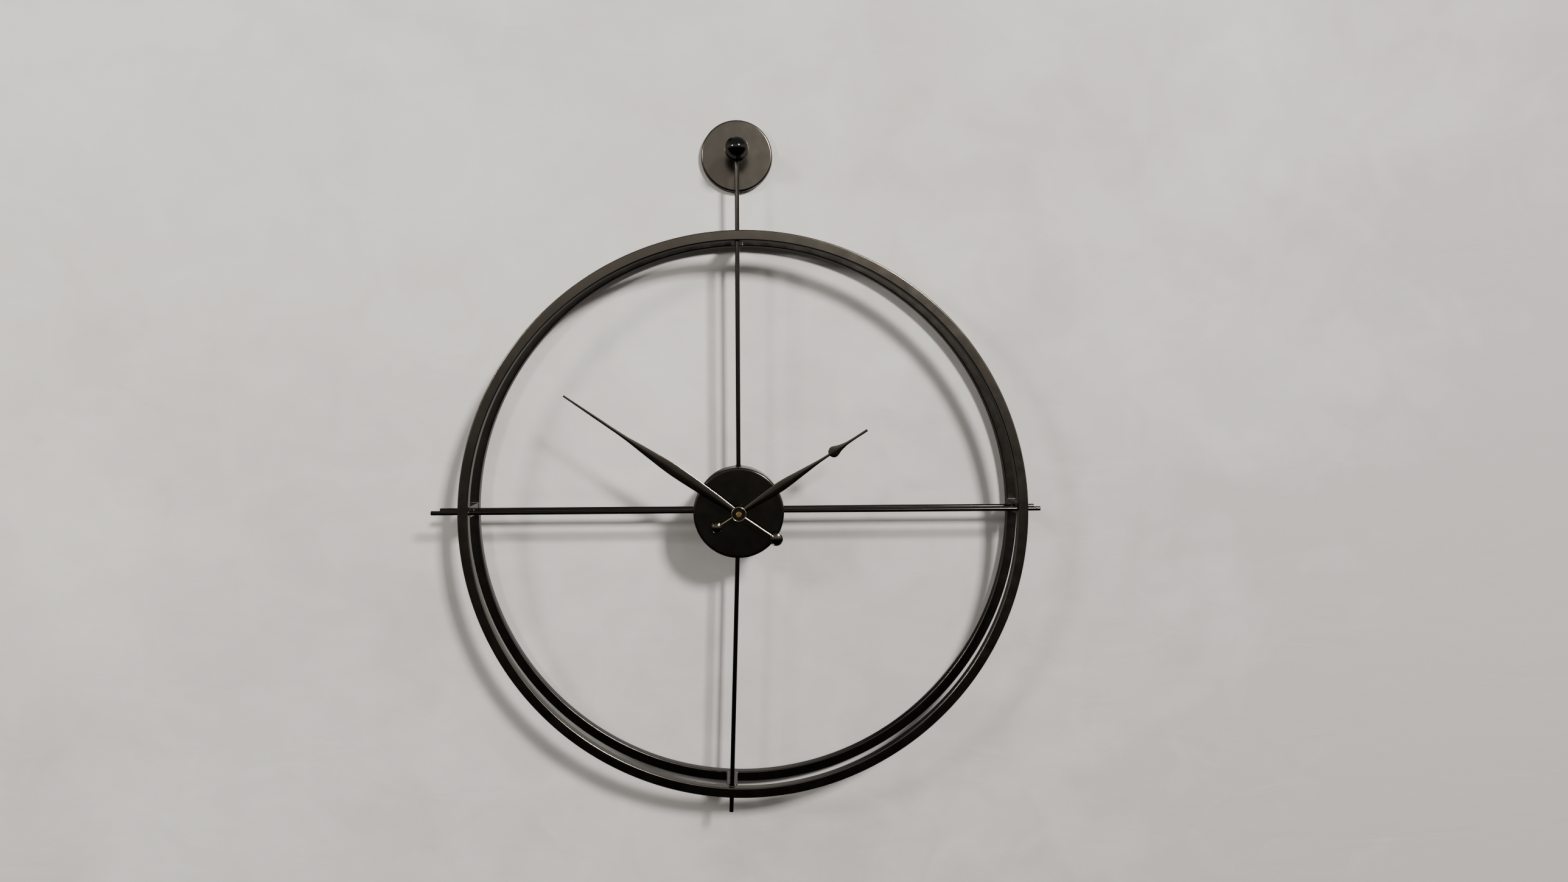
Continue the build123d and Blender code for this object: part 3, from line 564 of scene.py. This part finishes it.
# ---------------------------------------------------------------- rods and their welds
def rods():
    """All cross rods and the suspension rod, a hair off straight, with a bead where they enter metal."""
    for index, node in enumerate(["suspension_rod"] + [n for n in SLOTS if "_rod_" in n]):
        start, end = rod_ends(node)
        sway = frame_round((end - start).normalized())[0] * 0.25 * MM
        bar(f"{node}_bar", start, end, ROD_R, "clock", "rod_steel", [node],
            bend=lambda t, sway=sway, index=index: sway * sin(pi * t) * cos(index))
    front_y, middle_y = middle("front_rod_left").y, middle("middle_rod_left").y
    hoop_y = middle("front_ring").y
    block_half = 5.9 * MM
    for side in ARMS:
        out = arm_direction(side)
        for rank, y in (("front", front_y), ("middle", middle_y)):
            root = Vector((HUB.x, y, HUB.z)) + out * (DRUM_R + 0.2 * MM)
            bead(f"weld_drum_{side}_{rank}", ring_round(root, out, ROD_R + 0.2 * MM), out, DRUM_BEAD, 14,
                 seed=y * 700)
        block = middle(f"spacer_block_{side}")
        for rank, y, half in (("block", middle_y, block_half), ("hoop", hoop_y, TUBE / 2)):
            for face, sign in (("in", -1), ("out", 1)):
                if side == "top" and rank == "hoop" and face == "out":
                    continue
                centre = Vector((block.x, y, block.z)) + out * (half * sign)
                bead(f"weld_{rank}_{side}_{face}", ring_round(centre, out, ROD_R + 0.1 * MM), out,
                     ROD_BEAD, 14, seed=sign + y * 500)


rods()


# ---------------------------------------------------------------- hub
def hub():
    """Lid with a rolled rim over an open-backed sheet drum."""
    y_front, y_skirt = front("hub_face"), back("hub_face")
    rim = 2.4 * MM
    hole = 4.1 * MM
    lid = rounded([(hole, y_front + 0.15 * MM, 0), (HUB_R * 0.55, y_front + 0.05 * MM, HUB_R),
                   (HUB_R - 4 * MM, y_front, 6 * MM), (HUB_R, y_front, rim),
                   (HUB_R, y_skirt, 0.4 * MM), (HUB_R - SHEET, y_skirt, 0.4 * MM),
                   (HUB_R - SHEET, y_front + SHEET, rim - SHEET), (hole, y_front + SHEET, 0)])
    turned("hub_face_lid", lid, HUB, "clock", "nickel", ["hub_face"], around=240, material=LID_NICKEL)
    y_front, y_back = front("hub_drum"), back("hub_drum")
    lip = DRUM_R - SHEET - 2.4 * MM
    bead_at = y_back - 4.5 * MM
    wall = rounded([(DRUM_R, y_front, 0.2 * MM), (DRUM_R, bead_at - 1.2 * MM, 0.6 * MM),
                    (DRUM_R - 0.35 * MM, bead_at, 0.6 * MM), (DRUM_R, bead_at + 1.2 * MM, 0.6 * MM),
                    (DRUM_R, y_back, 0.9 * MM), (lip, y_back, 0.3 * MM),
                    (lip, y_back - SHEET, 0.3 * MM), (DRUM_R - SHEET, y_back - SHEET, 0.5 * MM),
                    (DRUM_R - SHEET, y_front, 0.2 * MM)])
    turned("hub_drum_wall", wall, HUB, "clock", "nickel", ["hub_drum"], around=240)


hub()


# ---------------------------------------------------------------- wall end
def wall_end():
    """Canopy cup, ball with its bore for the stem, and the cupped collar behind it."""
    pivot = middle("canopy")
    radius = size("canopy").x / 2
    y_front, y_back = front("canopy"), back("canopy")
    hole = STEM_R + 0.05 * MM
    cup = rounded([(hole, y_front, 0), (radius, y_front, 2.4 * MM), (radius, y_back - 1.0 * MM, 0.3 * MM),
                   (radius + 0.5 * MM, y_back, 0.3 * MM), (radius - SHEET, y_back, 0.3 * MM),
                   (radius - SHEET, y_front + SHEET, 1.2 * MM), (hole, y_front + SHEET, 0)])
    turned("canopy_cup", cup, pivot, "wall_mount", "nickel", ["canopy"], around=240)
    ball_r = size("ball_knob").x / 2
    ball_y = front("ball_knob") + ball_r
    skin_end = pi - 0.30
    steps = 60
    ball = [(ball_r * sin(skin_end * k / steps), ball_y - ball_r * cos(skin_end * k / steps))
            for k in range(steps + 1)]
    bore_end = ball_y - 4 * MM
    ball += [(STEM_R, ball[-1][1]), (STEM_R, bore_end), (0, bore_end)]
    turned("ball_knob_ball", ball, pivot, "wall_mount", "nickel", ["ball_knob"], around=128, closed=False,
           material=BALL_NICKEL)
    rim = size("pivot_collar").x / 2
    y_rim, y_seat = front("pivot_collar"), back("pivot_collar")
    collar = rounded([(hole, y_seat, 0.3 * MM), (rim - 3.5 * MM, y_seat, 0.8 * MM),
                      (rim, y_seat - 3.6 * MM, 0.5 * MM), (rim, y_rim, 0.4 * MM),
                      (rim - 2.2 * MM, y_rim, 0.3 * MM), (hole, y_rim, 0.2 * MM)])
    turned("pivot_collar_cup", collar, pivot, "wall_mount", "nickel", ["pivot_collar"], around=128)


wall_end()


# ---------------------------------------------------------------- hands
HAND_THICK = 1.2
GROUND_WIDTH = 0.85
CREASE = 0.14


def hand_axes(node):
    """Unit direction and unit left side of a hand, from its farthest point."""
    tip = max((v.co for v in frame["nodes"][node].data.vertices), key=lambda p: (p - HUB).xz.length)
    along = Vector((tip.x - HUB.x, 0, tip.z - HUB.z)).normalized()
    return along, Vector((-along.z, 0, along.x))


def smooth_width(stations, at):
    """Half width at a distance, by a smooth curve through (distance, half width) stations."""
    for i in range(len(stations) - 1):
        (d1, w1), (d2, w2) = stations[i], stations[i + 1]
        if at <= d2 or i == len(stations) - 2:
            d0, w0 = stations[max(i - 1, 0)]
            d3, w3 = stations[min(i + 2, len(stations) - 1)]
            slope_1 = (w2 - w0) / (d2 - d0)
            slope_2 = (w3 - w1) / (d3 - d1)
            t = min(max((at - d1) / (d2 - d1), 0), 1)
            span = d2 - d1
            return ((2 * t ** 3 - 3 * t ** 2 + 1) * w1 + (t ** 3 - 2 * t ** 2 + t) * span * slope_1
                    + (3 * t ** 2 - 2 * t ** 3) * w2 + (t ** 3 - t ** 2) * span * slope_2)
    return stations[-1][1]


def blade(name, stations, along, left, y_back, body):
    """Blade with wide ground edges and a face that rises a little to its middle line."""
    start, end = stations[0][0], stations[-1][0]
    steps = 90
    rows = []
    for k in range(steps + 1):
        at = start + (end - start) * k / steps
        half = smooth_width(stations, at)
        ground = min(GROUND_WIDTH, half * 0.42)
        shoulder = HAND_THICK - CREASE * min(1.0, half / 6)
        edge = shoulder - 0.45 * ground
        section = [(-half, 0.0), (-half, edge), (-half + ground, shoulder), (-0.08, HAND_THICK),
                   (0.08, HAND_THICK), (half - ground, shoulder), (half, edge), (half, 0.0)]
        centre = Vector((HUB.x, y_back, HUB.z)) + along * at * MM
        rows.append([centre + left * v * MM + Vector((0, -h * MM, 0)) for v, h in section])
    return piece(name, rows, body, "hand_nickel", caps=True)


# (distance from the pivot, half width) along each blade, in millimetres
MINUTE_STATIONS = [(6.0, 3.5), (40.0, 5.7), (94.0, 7.2), (130.0, 5.0), (165.0, 2.35), (205.0, 1.7),
                   (251.8, 1.1)]
HOUR_STATIONS = [(5.5, 2.5), (30.0, 4.5), (61.0, 6.2), (92.0, 3.9), (115.0, 2.0), (131.0, 1.5)]
SPADE_STATIONS = [(129.6, 0.6), (130.4, 2.9), (132.2, 5.3), (134.6, 6.6), (137.0, 6.9), (140.0, 6.1),
                  (143.5, 4.6), (148.5, 3.2), (157.0, 1.8), (184.8, 1.5)]


def domed_disc(name, at, radius, along, y_back, body):
    """Round counterweight: a shallow dome inside a narrow raised rim."""
    centre = Vector((HUB.x, 0, HUB.z)) + along * at * MM
    r = radius * MM
    y_rim = y_back - HAND_THICK * MM
    rim = 0.9 * MM
    well = r - 1.3 * MM
    rise = 1.3 * MM
    dome = [(well * k / 12, y_back - 0.6 * MM - rise * (1 - (k / 12) ** 2), 0) for k in range(13)]
    outline = rounded([(0, y_back, 0), (r, y_back, 0.15 * MM), (r, y_rim, 0.3 * MM),
                       (r - rim, y_rim, 0.2 * MM)] + dome[::-1], closed=False)
    return turned(name, outline, centre, body, "hand_nickel", closed=False, around=72)


def boss(name, radius, y_back, body):
    """Flat round middle of a hand, under its collet."""
    y_face = y_back - HAND_THICK * MM
    outline = rounded([(0, y_back, 0), (radius * MM, y_back, 0.15 * MM), (radius * MM, y_face, 0.35 * MM),
                       (0, y_face, 0)], closed=False)
    return turned(name, outline, HUB, body, "hand_nickel", closed=False, around=72)


def tail_bar(name, reach, half, along, left, y_back, body):
    """Tail bar with a crowned front, in a lighter nickel that paints a highlight on it."""
    crown = [radians(degrees) for degrees in (-90, -70, -45, -20, 0, 20, 45, 70, 90)]
    section = [(half * sin(angle), HAND_THICK * (0.55 + 0.45 * cos(angle))) for angle in crown]
    section = [(-half, 0)] + section + [(half, 0)]
    rows = []
    for at in (-3.0, -reach * 0.5, -reach):
        centre = Vector((HUB.x, y_back, HUB.z)) + along * at * MM
        rows.append([centre + left * v * MM + Vector((0, -h * MM, 0)) for v, h in section])
    return piece(name, rows, body, "hand_nickel", caps=True, material=PAINTED_HIGHLIGHT_NICKEL)


def join(name, parts, stands_for):
    """Join pieces of one hand into one mesh and let it stand for the CAD node."""
    with bpy.context.temp_override(active_object=parts[0], selected_editable_objects=parts):
        bpy.ops.object.join()
    parts[0].name = name
    parts[0].data.name = name
    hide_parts(*stands_for)
    return parts[0]


def collet():
    """Cup round the hand nut, its rim rolled to a full round, in a lighter nickel that paints a highlight
    on it.
    """
    y_back, y_front = back("minute_collet"), front("minute_collet")
    outer = size("minute_collet").x / 2
    inner = outer - 1.45 * MM
    bore = 1.6 * MM
    floor = y_back - 1.0 * MM
    cup = rounded([(bore, y_back, 0), (outer, y_back, 0.2 * MM), (outer, y_front, 0.7 * MM),
                   (inner, y_front, 0.7 * MM), (inner, floor, 0.2 * MM), (bore, floor, 0)], steps=8)
    turned("minute_collet_cup", cup, HUB, "minute", "hand_nickel", ["minute_collet"], around=96,
           material=PAINTED_HIGHLIGHT_NICKEL)


def hand(body, blades, tail, tail_half, weight_at, weight_r, boss_r):
    """One hand with ground blades, a crowned tail, a domed counterweight and a round boss."""
    node = f"{body}_hand"
    along, left = hand_axes(node)
    y_back = back(node)
    parts = [blade(f"{body}_{part}", stations, along, left, y_back, body) for part, stations in blades]
    parts.append(tail_bar(f"{body}_tail", tail, tail_half, along, left, y_back, body))
    parts.append(domed_disc(f"{body}_weight", -weight_at, weight_r, along, y_back, body))
    parts.append(boss(f"{body}_boss", boss_r, y_back, body))
    join(f"{node}_blade", parts, [node])


hand("minute", [("blade", MINUTE_STATIONS)], tail=50.0, tail_half=1.5, weight_at=54.5, weight_r=8.0,
     boss_r=8.2)
hand("hour", [("blade", HOUR_STATIONS), ("spade", SPADE_STATIONS)], tail=28.0, tail_half=1.3,
     weight_at=31.7, weight_r=7.0, boss_r=8.0)
collet()


# ---------------------------------------------------------------- back of the movement
def slab(name, outline, centre, y_near, y_far):
    """Moulded plate of a given (x, z) outline with slightly broken edges."""
    trim = 0.2 * MM
    spans = ((y_near, 0.9), (y_near + trim, 1.0), (y_far - trim, 1.0), (y_far, 0.9))
    rows = [[(centre.x + p.x * k, y, centre.z + p.y * k) for p in outline] for y, k in spans]
    piece(name, rows, "clock", "case_plastic", caps=True)


def movement_back():
    """Moulded ridge, knob ring, staked pins and snap clips on the movement's case."""
    cover = middle("movement_cover")
    extent = size("movement_cover")
    y_face = back("movement_cover")
    inset = 2.6 * MM
    half_x, half_z = extent.x / 2 - inset, extent.z / 2 - inset
    path = rounded(rectangle(half_x, half_z, 2.5 * MM), steps=8)
    ridge_r = 0.55 * MM
    around = [2 * pi * j / 12 for j in range(12)]
    rows = []
    for p in path:
        point = Vector((cover.x + p.x, y_face, cover.z + p.y))
        outward = Vector((p.x, 0, p.y)).normalized()
        rows.append([point + (outward * cos(angle) + Vector((0, sin(angle), 0))) * ridge_r
                     for angle in around])
    piece("cover_ridge", rows, "clock", "case_plastic", loop_rows=True)
    knob = middle("setting_knob")
    root = y_face - 0.2 * MM
    outline = rounded([(6.1 * MM, root, 0), (7.5 * MM, root, 0), (7.2 * MM, y_face + 1.1 * MM, 0.3 * MM),
                       (6.4 * MM, y_face + 1.1 * MM, 0.3 * MM)])
    turned("cover_knob_ring", outline, knob, "clock", "case_plastic", around=72)
    pin = rounded([(0, root, 0), (1.5 * MM, root, 0), (1.4 * MM, y_face + 0.7 * MM, 0.5 * MM),
                   (0, y_face + 0.8 * MM, 0)], closed=False)
    spots = [(sx * (half_x - 3 * MM), sz * (half_z - 3 * MM)) for sx in (-1, 1) for sz in (-1, 1)]
    for index, (dx, dz) in enumerate(spots):
        turned(f"cover_pin_{index}", pin, Vector((cover.x + dx, 0, cover.z + dz)), "clock", "case_plastic",
               around=28, closed=False)
    case = middle("movement_case")
    reach = size("movement_case").x / 2
    ear = rounded(rectangle(0.9 * MM, 4.0 * MM, 0.5 * MM), steps=4)
    for side_name, sign in (("left", -1), ("right", 1)):
        for level, dz in (("low", -2 * MM), ("high", 18 * MM)):
            slab(f"case_clip_{side_name}_{level}", ear, case + Vector((sign * (reach + 0.5 * MM), 0, dz)),
                 y_face - 7 * MM, y_face - 1.2 * MM)


movement_back()


# ---------------------------------------------------------------- camera, wall, floor and light
SENSOR_MM = 36.0
LENS_MM = 26.99
CAMERA_AT = (-0.0023, -1.5140, -0.2845)
CAMERA_AIM = (0.0558, -0.0795, -0.3580)
CAMERA_ROLL = radians(-0.21)
FLOOR_Z = -1.75
FLOOR_HALF = 7.0
WALL_TOP = 1.6
WALL_HALF = 2.6
WALL_Y = 0.4 * MM
PALE_ROOM = (0.86, 0.85, 0.84, 1)

# what the metal mirrors in front of the clock, from half down to half up
FRONT_ROOM = [
    (0.0, (0.008, 0.008, 0.008)), (0.19, (0.009, 0.009, 0.008)), (0.30, (0.035, 0.033, 0.030)),
    (0.385, (0.094, 0.090, 0.082)), (0.467, (0.21, 0.20, 0.187)), (0.54, (0.43, 0.413, 0.39)),
    (0.60, (0.78, 0.757, 0.718)), (0.72, (0.90, 0.874, 0.835)), (1.0, (0.30, 0.293, 0.288))]

# what it mirrors behind the clock, from the lower left to the upper right
REAR_ROOM = [
    (0.0, (0.60, 0.59, 0.58)), (0.27, (0.50, 0.49, 0.48)), (0.36, (0.10, 0.098, 0.095)),
    (0.47, (0.08, 0.078, 0.076)), (0.58, (0.95, 0.94, 0.93)), (1.0, (0.75, 0.74, 0.73))]


def aim(thing, target, roll=0.0):
    """Point a camera or lamp at a target."""
    direction = (Vector(target) - thing.location).normalized()
    turn = direction.to_track_quat("-Z", "Y").to_matrix() @ Matrix.Rotation(roll, 3, "Z")
    thing.rotation_euler = turn.to_euler()


def camera():
    """A phone-like lens just above the clock's middle."""
    lens = bpy.data.cameras.new("camera")
    lens.sensor_width = SENSOR_MM
    lens.lens = LENS_MM
    lens.clip_start = 0.05
    lens.clip_end = 30.0
    view = bpy.data.objects.new("camera", lens)
    bpy.context.scene.collection.objects.link(view)
    view.location = CAMERA_AT
    aim(view, CAMERA_AIM, CAMERA_ROLL)
    bpy.context.scene.camera = view


def plaster():
    """Pale plastered wall with trowel clouds and painted light, lighter to the left and the top, seen from
    the front only.
    """
    made = Graph("wall_plaster", roughness=0.75)
    # painted light: the tone rises to the left and to the top, where the room's light falls brighter on
    # the wall
    painted_light_falloff = made.add("VectorMath", operation="DOT_PRODUCT")
    made.link(made.place(), painted_light_falloff.inputs[0])
    painted_light_falloff.inputs[1].default_value = (-0.27, 0, 0.15)
    broad = made.noise(2.4, detail=9.0, stretch=(1, 1, 1.4), distortion=0.8)
    small = made.noise(13, detail=10.0, distortion=1.2)
    tone = made.sum(made.level(broad, 0.36, 0.64, 0.3, 0.7), made.level(small, -0.07, 0.07, 0.3, 0.7),
                    painted_light_falloff.outputs["Value"])
    made.drive("Base Color", made.ramp(tone, (0.2, (0.480, 0.462, 0.450)), (0.5, (0.612, 0.592, 0.574)),
                                       (0.8, (0.725, 0.705, 0.680))))
    made.bump(made.noise(7, detail=9.0, stretch=(1, 1, 2), distortion=1.4), 2.4 * MM, 0.5)
    made.bump(made.noise(160, detail=4.0), 0.15 * MM, 0.35)
    clear = made.add("BsdfTransparent")
    mix = made.add("MixShader")
    made.link(made.add("NewGeometry").outputs["Backfacing"], mix.inputs["Fac"])
    made.link(made.shader.outputs["BSDF"], mix.inputs[1])
    made.link(clear.outputs["BSDF"], mix.inputs[2])
    made.link(mix.outputs["Shader"], made.tree.nodes["Material Output"].inputs["Surface"])
    return made.material


def floor_material():
    """Pale matt floor with faint clouds."""
    made = Graph("floor_pale", roughness=0.7)
    made.drive("Base Color", made.ramp(made.noise(2.0, detail=5.0), (0.35, (0.66, 0.65, 0.64)),
                                       (0.65, (0.72, 0.71, 0.70))))
    return made.material


def sheet(name, corners, material):
    """One flat stage sheet that the metal doesn't mirror and that shades nothing."""
    mesh = bpy.data.meshes.new(name)
    mesh.from_pydata(corners, [], [(0, 1, 2, 3)])
    made = bpy.data.objects.new(name, mesh)
    made.data.materials.append(material)
    bpy.context.scene.collection.objects.link(made)
    made.visible_glossy = False
    made.visible_diffuse = False
    made.visible_shadow = False


def stage():
    """Wall just behind the clock and a pale floor below."""
    around = ((-1, -1), (1, -1), (1, 1), (-1, 1))
    sheet("wall", [(sign * WALL_HALF, WALL_Y, FLOOR_Z if up < 0 else WALL_TOP) for sign, up in around],
          plaster())
    sheet("floor", [(sx * FLOOR_HALF, sy * FLOOR_HALF, FLOOR_Z) for sx, sy in around], floor_material())


def lamp(name, location, target, side, power, colour):
    """Square soft lamp aimed at the clock."""
    light = bpy.data.lights.new(name, "AREA")
    light.shape = "SQUARE"
    light.size = side
    light.energy = power
    light.color = colour
    made = bpy.data.objects.new(name, light)
    bpy.context.scene.collection.objects.link(made)
    made.location = location
    made.visible_camera = False
    aim(made, target)


def grade(tree, source, low, high, stops):
    """Colour ramp over low..high of a value."""
    ramp = tree.nodes.new("ShaderNodeValToRGB")
    set_stops(ramp, stops)
    span = tree.nodes.new("ShaderNodeMapRange")
    span.inputs["From Min"].default_value = low
    span.inputs["From Max"].default_value = high
    tree.links.new(source, span.inputs["Value"])
    tree.links.new(span.outputs["Result"], ramp.inputs["Fac"])
    return ramp.outputs["Color"]


def sky():
    """Room light for the metal to mirror, and one pale tone for the camera to see behind it all."""
    world = bpy.data.worlds.new("room")
    bpy.context.scene.world = world
    world.use_nodes = True
    tree = world.node_tree
    split = tree.nodes.new("ShaderNodeSeparateXYZ")
    coordinates = tree.nodes.new("ShaderNodeTexCoord").outputs["Generated"]
    tree.links.new(coordinates, split.inputs["Vector"])
    room = grade(tree, split.outputs["Z"], -0.5, 0.5, FRONT_ROOM)
    lean = tree.nodes.new("ShaderNodeVectorMath")
    lean.operation = "DOT_PRODUCT"
    lean.inputs[1].default_value = (1.0, 0.0, 0.5)
    tree.links.new(coordinates, lean.inputs[0])
    behind = grade(tree, lean.outputs["Value"], -1.0, 1.0, REAR_ROOM)
    side = grade(tree, split.outputs["Y"], 0.0, 0.35, [(0.0, (0, 0, 0)), (1.0, (1, 1, 1))])
    both = tree.nodes.new("ShaderNodeMix")
    both.data_type = "RGBA"
    tree.links.new(side, both.inputs["Factor"])
    tree.links.new(room, both.inputs["A"])
    tree.links.new(behind, both.inputs["B"])
    seen = tree.nodes.new("ShaderNodeMix")
    seen.data_type = "RGBA"
    seen.inputs["B"].default_value = PALE_ROOM
    tree.links.new(tree.nodes.new("ShaderNodeLightPath").outputs["Is Camera Ray"], seen.inputs["Factor"])
    tree.links.new(both.outputs["Result"], seen.inputs["A"])
    tree.links.new(seen.outputs["Result"], tree.nodes["Background"].inputs["Color"])
    tree.nodes["Background"].inputs["Strength"].default_value = 1.0


camera()
stage()
sky()
lamp("key", location=(1.63, -3.69, 1.50), target=HUB, side=0.54, power=262, colour=(1.0, 0.97, 0.93))
lamp("second", location=(-1.90, -2.00, 0.60), target=HUB, side=0.40, power=28, colour=(1.0, 0.95, 0.90))
